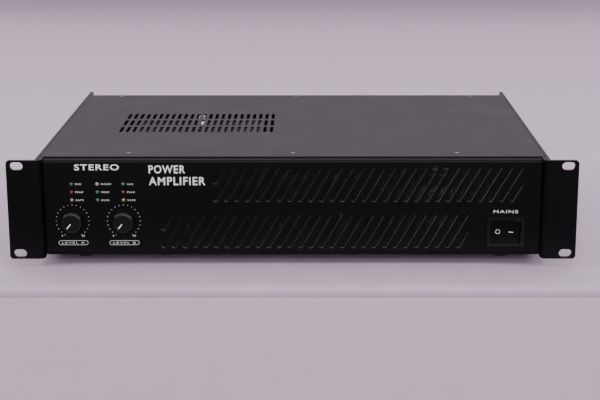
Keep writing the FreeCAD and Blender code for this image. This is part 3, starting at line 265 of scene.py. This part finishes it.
MATERIALS = {
    # Front paint and case paint are one satin black coat in two copies. The front copy is darker:
    # painted shade on the front, which faces away from the top light. The case copy is lighter and
    # lilac: a painted sheen of the bright room reflected in the cover.
    "paint": paint("front_paint_shaded_copy", (0.001, 0.001, 0.0012), 0.15, 0.4, (0.27, 0.27, 0.28)),
    "case_paint": paint("satin_case_sheen_copy", (0.003, 0.0028, 0.0034), 0.2, 0.4),
    "steel": brushed("plated_steel", (0.55, 0.56, 0.58), 0.3, (1, 12, 1)),
    "dull_steel": brushed("dull_steel", (0.3, 0.29, 0.3), 0.4, (1, 12, 1)),
    "screw": plain("black_oxide", (0.03, 0.03, 0.033), 0.35, mottle=0.3, Metallic=0.6),
    "brass": brushed("nickelled_brass", (0.66, 0.6, 0.48), 0.25, (1, 1, 12)),
    "gold": brushed("gold_plate", (0.83, 0.6, 0.26), 0.22, (12, 1, 1)),
    "aluminium": brushed("pressed_aluminium", (0.6, 0.6, 0.61), 0.35, (12, 1, 1)),
    "anodised": brushed("black_anodised", (0.035, 0.035, 0.038), 0.4, (1, 20, 1)),
    "rubber": plain("foot_rubber", (0.018, 0.018, 0.018), 0.75, grain=900, depth=0.08),
    "knob": plain("knob_plastic", (0.004, 0.004, 0.0043), 0.31, grain=2500, depth=0.01,
                  Specular_IOR_Level=0.36),
    "gloss": plain("switch_plastic", (0.0018, 0.0018, 0.0021), 0.24, grain=1800, depth=0.006,
                   Specular_IOR_Level=0.3),
    "bezel": plain("switch_bezel", (0.003, 0.003, 0.0033), 0.28, grain=1800, depth=0.006,
                   Specular_IOR_Level=0.45),
    "moulded": plain("moulded_plastic", (0.014, 0.014, 0.015), 0.45, grain=1300, depth=0.03),
    "red_cap": plain("red_cap_plastic", (0.38, 0.012, 0.01), 0.3, grain=1500, depth=0.01),
    "key": plain("ivory_key", (0.62, 0.6, 0.55), 0.4, grain=1500, depth=0.01),
    "print": plain("white_print", (0.94, 0.94, 0.96), 0.5, grain=3000, depth=0.004, mottle=0.04),
    "dim_print": plain("grey_print", (0.72, 0.72, 0.75), 0.5, grain=3000, depth=0.004, mottle=0.05),
    "wire": plain("screen_wire", (0.004, 0.004, 0.0044), 0.35, grain=3000, depth=0.004, mottle=0.5),
    "sleeve": plain("capacitor_sleeve", (0.02, 0.024, 0.06), 0.3, grain=900, depth=0.01),
    "board": board(),
    "tape": winding(),
    "green": lamp("green_lens", (0.02, 0.115, 0.065)),
    "red": lamp("red_lens", (0.15, 0.012, 0.013)),
    "yellow": lamp("yellow_lens", (0.26, 0.24, 0.1)),
    "clear": lamp("clear_lens", (0.36, 0.28, 0.3)),
}

FINISHES = {
    "paint": "front_panel rack_ear_left rack_ear_right",
    "case_paint": "base_plate rear_panel top_cover side_plate_left side_plate_right",
    "steel": "transformer_plate transformer_bolt board_standoffs fan_guard",
    "brass": "pot_nuts pot_shaft_a pot_shaft_b switch_terminals",
    "gold": "post_studs",
    "aluminium": "potentiometers",
    "anodised": "heat_sink_a heat_sink_b",
    "rubber": "rubber_feet transformer_pads",
    "bezel": "power_switch_frame",
    "gloss": "power_rocker slide_switches post_cap_1 post_cap_3",
    "moulded": ("output_transistors bridge_rectifier fan_frame fan_rotor xlr_sockets xlr_latch_a "
                "xlr_latch_b jack_sockets speaker_sockets post_bases mains_inlet fuse_drawer"),
    "red_cap": "post_cap_2 post_cap_4",
    "key": "mode_slider lift_slider",
    "board": "front_board power_board amplifier_boards",
    "sleeve": "filter_capacitors",
    "tape": "transformer_winding",
    "green": "led_green",
    "red": "led_red",
    "yellow": "led_yellow",
    "clear": "led_power",
}
ROUNDED = {
    "front_panel": 0.25, "rear_panel": 0.25, "top_cover": 0.25, "base_plate": 0.25,
    "side_plate_left": 0.4, "side_plate_right": 0.4, "rack_ear_left": 0.8, "rack_ear_right": 0.8,
    "power_switch_frame": 1, "power_rocker": 0.5, "mains_inlet": 0.3, "fuse_drawer": 0.3,
    "xlr_sockets": 0.3, "speaker_sockets": 0.3, "post_bases": 0.4, "rubber_feet": 0.5,
    "slide_switches": 0.2, "mode_slider": 0.3, "lift_slider": 0.3, "fan_frame": 0.4,
    "xlr_latch_a": 0.3, "xlr_latch_b": 0.3, "post_cap_1": 0.25, "post_cap_2": 0.25,
    "post_cap_3": 0.25, "post_cap_4": 0.25, "jack_sockets": 0.3,
}
SHARP = math.radians(32)


def finish_cad_nodes():
    """Each CAD node that stays gets its material, and the ones in ROUNDED slightly broken edges."""
    for key, names in FINISHES.items():
        for name in names.split():
            node = NODES[name]
            node.data.materials.clear()
            node.data.materials.append(MATERIALS[key])
            if name in ROUNDED:
                edge = node.modifiers.new("broken_edges", "BEVEL")
                edge.width = ROUNDED[name] * MM
                edge.segments = 2
                edge.limit_method = "ANGLE"
                edge.angle_limit = SHARP
                edge.harden_normals = True


# ---- pieces -----------------------------------------------------------------------------------

def piece(work, name, key, body="chassis", smooth=True, stands_for=()):
    """Turns a bmesh into a piece that rides on a body."""
    mesh = bpy.data.meshes.new(name)
    bmesh.ops.recalc_face_normals(work, faces=work.faces)
    work.to_mesh(mesh)
    work.free()
    made = bpy.data.objects.new(name, mesh)
    bpy.context.scene.collection.objects.link(made)
    mesh.materials.append(MATERIALS[key])
    if smooth:
        mesh.shade_smooth()
        mesh.set_sharp_from_angle(angle=SHARP)
    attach(made, body)
    if stands_for:
        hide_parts(*stands_for)
    return made


def lathe(work, profile, turn, steps=64):
    """Turns a profile of (radius, height) round Z, then moves it with turn."""
    rings = []
    for radius, height in profile:
        count = steps if radius else 1
        angles = [2 * math.pi * i / count for i in range(count)]
        rings.append([work.verts.new(turn @ Vector((radius * math.cos(a), radius * math.sin(a),
                                                    height))) for a in angles])
    for low, high in zip(rings, rings[1:]):
        for i in range(steps):
            corners = [low[i % len(low)], low[(i + 1) % len(low)],
                       high[(i + 1) % len(high)], high[i % len(high)]]
            work.faces.new(list(dict.fromkeys(corners)))


def wall(work, low_loop, high_loop):
    """Faces between two closed loops of the same length."""
    for i, vert in enumerate(low_loop):
        after = (i + 1) % len(low_loop)
        work.faces.new((vert, low_loop[after], high_loop[after], high_loop[i]))


def lift(work, outline, height, turn):
    """Vertices of a flat outline at a height."""
    return [work.verts.new(turn @ Vector((x, y, height))) for x, y in outline]


def slab(work, outline, low, high, turn):
    """A flat solid between two heights, with the given outline."""
    bottom, top = lift(work, outline, low, turn), lift(work, outline, high, turn)
    work.faces.new(bottom[::-1])
    work.faces.new(top)
    wall(work, bottom, top)


def band(work, outer, inner, low, high, turn):
    """A flat solid between two outlines that have the same number of points."""
    loops = [lift(work, outline, height, turn)
             for outline, height in ((outer, low), (outer, high), (inner, high), (inner, low))]
    for one, other in zip(loops, loops[1:] + loops[:1]):
        wall(work, one, other)


def round_outline(x, y, radius, steps=24):
    """A circle as a regular polygon."""
    return [(x + radius * math.cos(2 * math.pi * i / steps),
             y + radius * math.sin(2 * math.pi * i / steps)) for i in range(steps)]


def pill_outline(x, y, half_x, radius, steps=12):
    """A shape with straight top and bottom and half-round ends."""
    points = []
    for side in (1, -1):
        for i in range(steps + 1):
            angle = math.pi * (i / steps - 0.5)
            points.append((x + side * (half_x - radius + radius * math.cos(angle)),
                           y + side * radius * math.sin(angle)))
    return points


def rectangle_outline(x, y, half_x, half_y):
    """A rectangle about its centre."""
    return [(x - half_x, y - half_y), (x + half_x, y - half_y),
            (x + half_x, y + half_y), (x - half_x, y + half_y)]


def facing(place, direction):
    """Local Z along a direction, at a place."""
    """Matrix that takes local +Z to direction and the origin to place."""
    turn = Vector(direction).to_track_quat("Z", "Y").to_matrix().to_4x4()
    return Matrix.Translation(place) @ turn


def on_front(y):
    """Local X right, Y up and Z towards the user, on a plane at the given Y."""
    return Matrix(((1, 0, 0, 0), (0, 0, -1, y), (0, 1, 0, 0), (0, 0, 0, 1)))


def on_back(y):
    """Local X right, Y up and Z backwards, seen from behind, on a plane at the given Y."""
    return Matrix(((-1, 0, 0, 0), (0, 0, 1, y), (0, 1, 0, 0), (0, 0, 0, 1)))


# ---- printed marks ----------------------------------------------------------------------------

INK = 0.04 * MM


def words(work, text, x, y, wide, high, turn, bold=0.01, centred=True):
    """Plain lettering, scaled so that its capitals are wide by high, centred or starting at x."""
    curve = bpy.data.curves.new("words", "FONT")
    curve.body = text
    curve.size = 1
    curve.offset = bold
    curve.extrude = 1
    curve.space_character = 1.15
    curve.resolution_u = 4
    holder = bpy.data.objects.new("words", curve)
    bpy.context.scene.collection.objects.link(holder)
    bpy.context.view_layer.update()
    mesh = bpy.data.meshes.new_from_object(holder.evaluated_get(
        bpy.context.evaluated_depsgraph_get()))
    corners = [vert.co for vert in mesh.vertices]
    left, right = (pick(c.x for c in corners) for pick in (min, max))
    low, top = (pick(c.y for c in corners) for pick in (min, max))
    scale = Vector((wide / (right - left), high / (top - low), INK / 2, 1))
    anchor = (left + right) / 2 if centred else left
    fit = (Matrix.Translation((x, y, INK / 2)) @ Matrix.Diagonal(scale)
           @ Matrix.Translation((-anchor, -(low + top) / 2, 0)))
    mesh.transform(turn @ fit)
    work.from_mesh(mesh)
    bpy.data.objects.remove(holder)
    bpy.data.curves.remove(curve)
    bpy.data.meshes.remove(mesh)


def dial(work, centre, turn):
    """Dots round a knob, and a number at each end of the travel."""
    radius, dots, half_turn, dot = 14.1 * MM, 21, math.radians(150), 0.34 * MM
    digit_wide, digit_high = 1.1 * MM, 1.7 * MM
    for i in range(dots):
        angle = half_turn * (2 * i / (dots - 1) - 1)
        spot = centre.x + radius * math.sin(angle), centre.z + radius * math.cos(angle)
        slab(work, round_outline(*spot, dot, 10), 0, INK, turn)
    for side, text in ((-1, "0"), (1, "10")):
        words(work, text, centre.x + (side * 9 - 0.3) * MM, centre.z - 13.2 * MM,
              digit_wide * len(text), digit_high, turn, bold=0.03)


def name_ring(work, text, x, y, turn):
    """A word inside a thin ring with half-round ends."""
    line, half_x, radius = 0.28 * MM, 12.7 * MM, 2 * MM
    text_wide, text_high = 19.4 * MM, 1.5 * MM
    band(work, pill_outline(x, y, half_x, radius),
         pill_outline(x, y, half_x - line, radius - line), 0, INK, turn)
    words(work, text, x, y, text_wide, text_high, turn, bold=-0.01)


LAMP_WORDS = (("SIG", "PEAK", "SAFE"), ("MAINS", "MONO", "DUAL"), ("SIG", "PEAK", "SAFE"))


def lamp_places():
    """Centres of the lamps in columns from left to right, each from the top down."""
    boxes = [box for node in ("led_green", "led_red", "led_yellow", "led_power")
             for box in islands(node)]
    spots = sorted((middle(box) for box in boxes), key=lambda spot: round(spot.x, 3))
    return [sorted(spots[i:i + 3], key=lambda spot: -spot.z) for i in (0, 3, 6)]


def front_print():
    """White print on the front panel, every word a plain one."""
    turn = on_front(PANEL_FRONT)
    bright, dim = bmesh.new(), bmesh.new()
    lamp_gap, letter_wide, letter_high = 3.3 * MM, 1.75 * MM, 1.5 * MM
    name_z, title_z, mains_z, capital = 19 * MM, 85.4 * MM, 46.5 * MM, 7.2 * MM
    for column, texts in zip(lamp_places(), LAMP_WORDS):
        for spot, text in zip(column, texts):
            words(dim, text, spot.x + lamp_gap, spot.z, letter_wide * len(text), letter_high,
                  turn, centred=False)
    for knob, text in (("volume_knob_a", "LEVEL A"), ("volume_knob_b", "LEVEL B")):
        centre = middle(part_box(knob))
        dial(dim, centre, turn)
        name_ring(bright, text, centre.x, name_z, turn)
    knob = middle(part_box("volume_knob_a")).x
    words(bright, "STEREO", knob + 22 * MM, title_z, 38 * MM, 5.2 * MM, turn, bold=0.02)
    left = knob + 66 * MM
    words(bright, "POWER", left, 83.6 * MM, 31 * MM, capital, turn, 0.02, centred=False)
    words(bright, "AMPLIFIER", left, 73.4 * MM, 48 * MM, capital, turn, 0.02, centred=False)
    switch = middle(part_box("power_switch_frame"))
    words(bright, "MAINS", switch.x, mains_z, 21 * MM, 2.7 * MM, turn, bold=0)
    piece(bright, "front_print", "print", smooth=False)
    piece(dim, "control_print", "dim_print", smooth=False)


def rear_print():
    """Plain names beside the rear sockets."""
    turn, work = on_back(REAR_SKIN), bmesh.new()
    above, capital, short_word, sign_wide = 5 * MM, 1.9 * MM, 7.5 * MM, 2 * MM
    for node, texts in (("xlr_sockets", ("INPUT A", "INPUT B")),
                        ("speaker_sockets", ("OUTPUT A", "OUTPUT B"))):
        for box, text in zip(islands(node), texts):
            words(work, text, -middle(box).x, box[1].z + above / 2, 15 * MM, capital, turn)
    for box, text in zip(islands("slide_switches"), ("LIFT", "MODE")):
        words(work, text, -middle(box).x, box[1].z + above, short_word, capital, turn)
    drawer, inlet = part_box("fuse_drawer"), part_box("mains_inlet")
    words(work, "FUSE", -inlet[0].x + 6 * MM, middle(drawer).z, short_word, capital, turn)
    for box in islands("post_bases"):
        for side, sign in ((-1, "+"), (1, "-")):
            words(work, sign, -middle(box).x + side * 9.5 * MM, box[0].z - above / 2, sign_wide,
                  sign_wide if sign == "+" else 0.4 * MM, turn)
    piece(work, "rear_print", "dim_print", smooth=False)


# ---- controls ---------------------------------------------------------------------------------

def level_knob(letter):
    """Turned cap with a rounded shoulder and a white line let into its face."""
    node, body = f"volume_knob_{letter}", f"knob_{letter}"
    low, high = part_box(node)
    inside, seam, chamfer = 0.05 * MM, 0.02 * MM, 0.15 * MM
    dish, dish_midway = 0.05 * MM, 0.04 * MM
    centre, tall = middle((low, high)), high.y - low.y - inside
    radius, rim, hollow, floor = (high.x - low.x) / 2, 2.4 * MM, 6.3 * MM, 3.9 * MM
    shaft, stop = 3.02 * MM, high.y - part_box(f"pot_shaft_{letter}")[0].y + seam
    curve = [(radius - rim + rim * math.cos(a), tall - rim + rim * math.sin(a))
             for a in (math.pi / 2 * i / 8 for i in range(9))]
    profile = [(0, stop), (shaft, stop), (shaft, floor), (hollow, floor), (hollow, 0),
               (radius - chamfer, 0), (radius, chamfer), *curve,
               (radius / 2, tall - dish_midway), (0, tall - dish)]
    turn = facing(Vector((centre.x, high.y, centre.z)), (0, -1, 0))
    work = bmesh.new()
    lathe(work, profile, turn, steps=96)
    piece(work, f"level_knob_{letter}", "knob", body, stands_for=[node])
    work = bmesh.new()
    rest, line_middle, line_half, line_radius, deep = (math.radians(-141), 3.65 * MM, 2.65 * MM,
                                                       0.5 * MM, 0.4 * MM)
    line = on_front(high.y) @ Matrix.Translation((centre.x, centre.z, 0)) @ Matrix.Rotation(
        -rest, 4, "Z") @ Matrix.Rotation(math.pi / 2, 4, "Z")
    slab(work, pill_outline(line_middle, 0, line_half, line_radius), tall - deep, tall, line)
    piece(work, f"knob_line_{letter}", "print", body, smooth=False)


def rocker_marks():
    """A ring for off on the pressed face and a bar for on on the raised face."""
    pivot = Vector(JOINTS["power_rock"]["pos_m"])
    face, tilt = 1.7 * MM, math.radians(18)
    flat = Matrix.Translation(pivot) @ on_front(-face)
    raised = Matrix.Translation(pivot) @ Matrix.Rotation(-tilt, 4, "Z") @ on_front(-face)
    work = bmesh.new()
    ring_x, outer, inner = -6.6 * MM, 2.05 * MM, 1.65 * MM
    bar_x, bar_long, bar_thin = 5.4 * MM, 1.9 * MM, 0.33 * MM
    band(work, round_outline(ring_x, 0, outer, 32), round_outline(ring_x, 0, inner, 32), 0, INK,
         flat)
    slab(work, rectangle_outline(bar_x, 0, bar_long, bar_thin), 0, INK, raised)
    piece(work, "rocker_marks", "print", "rocker", smooth=False)


def dust_screen():
    """Crossed wires behind the vents, with a corner left out for the mains switch."""
    low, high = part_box("dust_screen")
    notch = Vector((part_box("power_switch_frame")[0].x - 9.9 * MM, 0, 50 * MM))
    pitch, half = 1.5 * MM, 0.17 * MM
    layer = middle((low, high)).y
    work = bmesh.new()
    columns = int((high.x - low.x) / pitch)
    rows = int((high.z - low.z) / pitch)
    for i in range(columns + 1):
        x = low.x + half + i * (high.x - low.x - 2 * half) / columns
        start = notch.z if x > notch.x else low.z
        slab(work, rectangle_outline(x, (start + high.z) / 2, half, (high.z - start) / 2),
             0, 2 * half, on_front(layer))
    for i in range(rows + 1):
        z = low.z + half + i * (high.z - low.z - 2 * half) / rows
        end = notch.x if z < notch.z else high.x
        slab(work, rectangle_outline((low.x + end) / 2, z, (end - low.x) / 2, half),
             -2 * half, 0, on_front(layer))
    piece(work, "dust_screen_wires", "wire", smooth=False, stands_for=["dust_screen"])


# ---- screws -----------------------------------------------------------------------------------

def screw(work, box, direction, head, tall):
    """Pan head with a cross recess, and its shank, along the box's own axis."""
    axis = max(range(3), key=lambda i: abs(direction[i]))
    top = middle(box)
    top[axis] = (box[1] if direction[axis] > 0 else box[0])[axis]
    long = box[1][axis] - box[0][axis]
    turn = facing(top, direction)
    shank, dome = 1.5 * MM, 0.3 * tall
    lathe(work, [(0, -long), (shank, -long), (shank, -tall), (head, -tall),
                 (head, -dome), (head * 0.93, -dome * 0.45)], turn, 32)
    arm, reach, pit = 0.17 * head, 0.55 * head, -min(0.75 * tall, 0.9 * MM)
    cross = [(reach, arm), (arm, arm), (arm, reach), (-arm, reach), (-arm, arm), (-reach, arm),
             (-reach, -arm), (-arm, -arm), (-arm, -reach), (arm, -reach), (arm, -arm),
             (reach, -arm)]
    rim = lift(work, round_outline(0, 0, head * 0.93, 32), -dome * 0.45, turn)
    face = lift(work, cross, 0, turn)
    floor = lift(work, [(x * 0.8, y * 0.8) for x, y in cross], pit, turn)
    edges = [work.edges.new(pair) for loop in (rim, face)
             for pair in zip(loop, loop[1:] + loop[:1])]
    bmesh.ops.triangle_fill(work, edges=edges, use_beauty=True)
    wall(work, face, floor)
    work.faces.new(floor)


def screws():
    """Screws in place of each CAD group: its material, its head's height and the way it faces."""
    groups = {
        "cover_screws": (lambda box: (0, 0, 1), "dull_steel", 0.6 * MM),
        "side_screws": (lambda box: (1 if box[0].x > 0 else -1, 0, 0), "screw", 1.3 * MM),
        "base_screws": (lambda box: (0, 0, -1), "screw", 1.3 * MM),
        "rear_screws": (lambda box: (0, 1, 0), "screw", 1.3 * MM),
        "foot_screws": (lambda box: (0, 0, -1), "steel", 2.4 * MM),
    }
    for node, (direction, key, tall) in groups.items():
        work = bmesh.new()
        for box in islands(node):
            way = direction(box)
            across = [high - low for low, high, along in zip(*box, way) if not along]
            screw(work, box, way, across[0] / 2, tall)
        bmesh.ops.remove_doubles(work, verts=work.verts, dist=0.002 * MM)
        piece(work, node.replace("screws", "screw_heads"), key, stands_for=[node])


# ---- rear details -----------------------------------------------------------------------------

def inlet_blades():
    """Metal sleeves on the three blades of the mains inlet."""
    low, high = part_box("mains_inlet")
    centre, depth, blade_x, blade_z = middle((low, high)).x, 2 * MM, 1.05 * MM, 2.05 * MM
    bottom, proud, edge = high.y - 16.9 * MM, 0.05 * MM, 0.25 * MM
    work = bmesh.new()
    for x, z in ((0, 61.5), (-7, 56), (7, 56)):
        outline = rectangle_outline(-centre - x * MM, z * MM, blade_x, blade_z)
        slab(work, outline, 0, high.y - depth - bottom + proud, on_back(bottom))
    bmesh.ops.bevel(work, geom=list(work.edges), offset=edge, segments=2, affect="EDGES")
    piece(work, "inlet_blades", "brass")


def socket_contacts():
    """Gold rings at the mouths of the input sockets' three contacts, and speaker contacts."""
    work = bmesh.new()
    sink, outer, inner, deep = 1.9 * MM, 1.28 * MM, 0.9 * MM, 3 * MM
    circle, contact, contact_sink, contact_deep = 5.2 * MM, 0.8 * MM, 3 * MM, 9 * MM
    for box in islands("xlr_sockets"):
        centre = middle(box)
        face = box[1].y - sink
        for dx, dz in ((-4, 1.6), (4, 1.6), (0, -4)):
            spot = -centre.x - dx * MM, centre.z + dz * MM
            band(work, round_outline(*spot, outer), round_outline(*spot, inner), -deep, 0,
                 on_back(face))
    for box in islands("speaker_sockets"):
        centre = middle(box)
        for i in range(4):
            angle = math.pi / 4 + math.pi / 2 * i
            spot = -centre.x + circle * math.cos(angle), centre.z + circle * math.sin(angle)
            slab(work, round_outline(*spot, contact, 12), -contact_deep, 0,
                 on_back(box[1].y - contact_sink))
    piece(work, "socket_contacts", "gold")


# ---- stage ------------------------------------------------------------------------------------

def stage():
    """Pale bench that ends just in front of the amplifier and sweeps up behind it."""
    front_y, wall_y, sweep, corner, side, tall, drop = -0.225, 3.6, 0.8, 0.008, 5.0, 4.0, 1.2
    work = bmesh.new()
    section = [(front_y, -drop)]
    quarter = [math.pi / 2 * i / 12 for i in range(13)]
    section += [(front_y + corner - corner * math.cos(a), corner * math.sin(a) - corner)
                for a in quarter]
    section += [(wall_y - sweep + sweep * math.sin(a), sweep - sweep * math.cos(a))
                for a in quarter]
    section.append((wall_y, tall))
    sides = [[work.verts.new((x, y, z)) for y, z in section] for x in (-side, side)]
    for i in range(len(section) - 1):
        work.faces.new((sides[0][i], sides[1][i], sides[1][i + 1], sides[0][i + 1]))
    mesh = bpy.data.meshes.new("studio_bench")
    work.to_mesh(mesh)
    work.free()
    mesh.shade_smooth()
    # The bench colour and a paler copy of it. The paler copy goes on the front face (polygon 0) and
    # is painted light, standing in for a fill light on that face alone.
    for name, colour in (("pale_bench", (0.52, 0.41, 0.52)),
                         ("bench_front_painted_light", (0.78, 0.63, 0.74))):
        mesh.materials.append(plain(name, colour, 0.75, grain=300, depth=0.05, mottle=0.02))
    mesh.polygons[0].material_index = 1
    bench = bpy.data.objects.new("studio_bench", mesh)
    bpy.context.scene.collection.objects.link(bench)


def soft_light(name, place, target, size, power, colour=(1, 1, 1)):
    lamp_data = bpy.data.lights.new(name, "AREA")
    lamp_data.shape = "RECTANGLE"
    lamp_data.size, lamp_data.size_y = size
    lamp_data.energy = power
    lamp_data.color = colour
    made = bpy.data.objects.new(name, lamp_data)
    made.location = place
    made.rotation_euler = (Vector(target) - Vector(place)).to_track_quat("-Z", "Y").to_euler()
    made.visible_camera = False
    bpy.context.scene.collection.objects.link(made)


def lights():
    centre = (0, -0.05, 0.05)
    soft_light("top_light", (0, 0.3, 1.5), (0, 0.3, 0), (2.4, 1.9), 30, (1, 0.97, 0.99))
    soft_light("front_light", (0.1, -2.1, 0.8), centre, (2.2, 1.2), 36)
    soft_light("left_light", (-1.5, -0.5, 1.0), centre, (0.5, 0.6), 9)
    soft_light("right_light", (1.5, -0.5, 1.0), centre, (0.5, 0.6), 9)
    soft_light("rear_left_light", (-1.8, 1.5, 0.9), centre, (0.7, 0.7), 12)
    soft_light("rear_right_light", (1.8, 1.5, 0.9), centre, (0.7, 0.7), 12)
    soft_light("back_light", (0, 1.35, 0.75), (0, 0, 0.1), (3.2, 0.9), 7, (1, 0.92, 1))
    world = bpy.data.worlds.new("studio_air")
    world.use_nodes = True
    background = world.node_tree.nodes["Background"]
    background.inputs["Color"].default_value = (0.66, 0.58, 0.68, 1)
    background.inputs["Strength"].default_value = 0.2
    bpy.context.scene.world = world


def camera():
    """A long lens in front of the amplifier, a little above it and right of its middle."""
    data = bpy.data.cameras.new("camera")
    data.sensor_width = 36
    data.lens = 87.2
    data.shift_x = -0.0218
    data.shift_y = -0.0049
    made = bpy.data.objects.new("camera", data)
    made.location = (0.0162, -1.3549, 0.3655)
    made.rotation_euler = (math.radians(90 - 14.33), 0, math.radians(-0.053))
    bpy.context.scene.collection.objects.link(made)
    bpy.context.scene.camera = made


finish_cad_nodes()
front_print()
rear_print()
for knob_letter in "ab":
    level_knob(knob_letter)
rocker_marks()
dust_screen()
screws()
inlet_blades()
socket_contacts()
stage()
lights()
camera()
